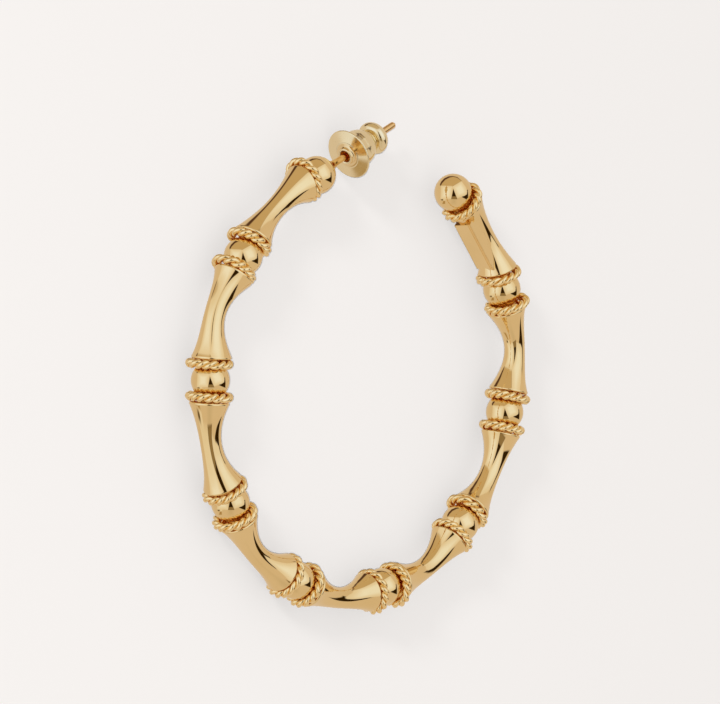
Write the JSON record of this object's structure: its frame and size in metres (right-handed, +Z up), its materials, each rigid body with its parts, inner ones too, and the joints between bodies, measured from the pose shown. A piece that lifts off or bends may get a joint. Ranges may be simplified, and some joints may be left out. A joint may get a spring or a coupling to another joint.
{
  "type": "bamboo hoop earring",
  "caption": "Open bamboo hoop earring of flared lengths and round beads with twisted wire collars, a straight ear post at one end and a push-on bell clutch.",
  "frame": {"origin": "middle of the underside of the whole earring's box, on the floor that it lies on", "axes": "+Z up from the floor, within half a degree of the hoop's axis; +Y from the far side towards the open mouth; +X from the post's side towards the free tail"},
  "size_m": [0.0579, 0.0589, 0.0063],
  "materials": {
    "hoop_gold": "polished gold plate",
    "rope_gold": "polished gold plate",
    "clutch_gold": "polished pale gold plate"
  },
  "bodies": {
    "hoop": {"bamboo_hoop": "hoop_gold", "collar_01": "rope_gold", "collar_02": "rope_gold", "collar_03": "rope_gold", "collar_04": "rope_gold", "collar_05": "rope_gold", "collar_06": "rope_gold", "collar_07": "rope_gold", "collar_08": "rope_gold", "collar_09": "rope_gold", "collar_10": "rope_gold", "collar_11": "rope_gold", "collar_12": "rope_gold", "collar_13": "rope_gold", "collar_14": "rope_gold", "collar_15": "rope_gold", "collar_16": "rope_gold", "collar_17": "rope_gold", "collar_18": "rope_gold"},
    "clutch": {"clutch": "clutch_gold"}
  },
  "joints": [
    {"name": "clutch_slide", "type": "slide", "parent": "hoop", "child": "clutch", "axis": [0.87, 0.4916, -0.0389], "range_m": [-0.00276, 0.00996]}
  ]
}
